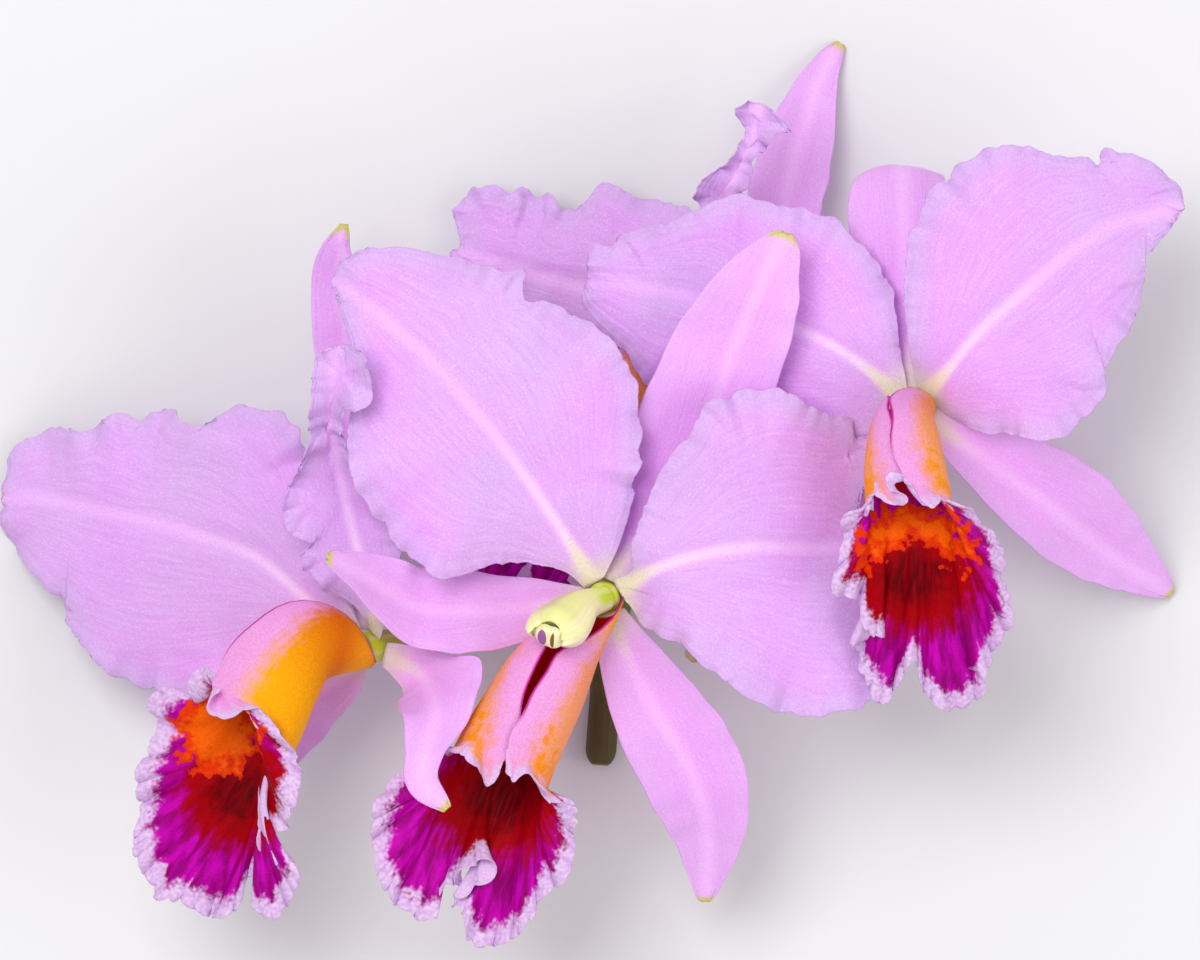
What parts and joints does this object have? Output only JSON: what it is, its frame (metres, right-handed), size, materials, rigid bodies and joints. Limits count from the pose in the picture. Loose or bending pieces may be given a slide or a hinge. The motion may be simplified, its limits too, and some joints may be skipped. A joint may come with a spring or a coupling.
{
  "type": "cattleya orchid",
  "caption": "Cut spray of a cattleya orchid lying on its back: wide lilac petals and sepals round frilled, tube-shaped magenta lips, on one short flower stem.",
  "frame": {"origin": "middle of the bounding box, on the surface that the spray lies on", "axes": "+Z away from that surface, towards whoever looks into the blooms; +Y up the spray, away from the stem's cut end; +X to the right"},
  "size_m": [0.2378, 0.1816, 0.081],
  "materials": {
    "petal": "satin",
    "sepal": "satin",
    "lip": "satin",
    "column": "satin",
    "anther": "satin",
    "pedicel": "satin",
    "stem": "satin",
    "bract": "matte"
  },
  "bodies": {
    "root": {"flower_stem": "stem", "left_bloom_left_petal": "petal", "left_bloom_right_petal": "petal", "left_bloom_dorsal_sepal": "sepal", "left_bloom_left_lateral_sepal": "sepal", "left_bloom_right_lateral_sepal": "sepal", "left_bloom_lip": "lip", "left_bloom_column": "column", "left_bloom_anther_cap": "anther", "left_bloom_pedicel": "pedicel", "left_bloom_bract": "bract", "middle_bloom_left_petal": "petal", "middle_bloom_right_petal": "petal", "middle_bloom_dorsal_sepal": "sepal", "middle_bloom_left_lateral_sepal": "sepal", "middle_bloom_right_lateral_sepal": "sepal", "middle_bloom_lip": "lip", "middle_bloom_column": "column", "middle_bloom_anther_cap": "anther", "middle_bloom_pedicel": "pedicel", "middle_bloom_bract": "bract", "right_bloom_left_petal": "petal", "right_bloom_right_petal": "petal", "right_bloom_dorsal_sepal": "sepal", "right_bloom_left_lateral_sepal": "sepal", "right_bloom_right_lateral_sepal": "sepal", "right_bloom_lip": "lip", "right_bloom_column": "column", "right_bloom_anther_cap": "anther", "right_bloom_pedicel": "pedicel", "right_bloom_bract": "bract", "back_bloom_left_petal": "petal", "back_bloom_right_petal": "petal", "back_bloom_dorsal_sepal": "sepal", "back_bloom_left_lateral_sepal": "sepal", "back_bloom_right_lateral_sepal": "sepal", "back_bloom_lip": "lip", "back_bloom_column": "column", "back_bloom_anther_cap": "anther", "back_bloom_pedicel": "pedicel", "back_bloom_bract": "bract"}
  },
  "joints": []
}
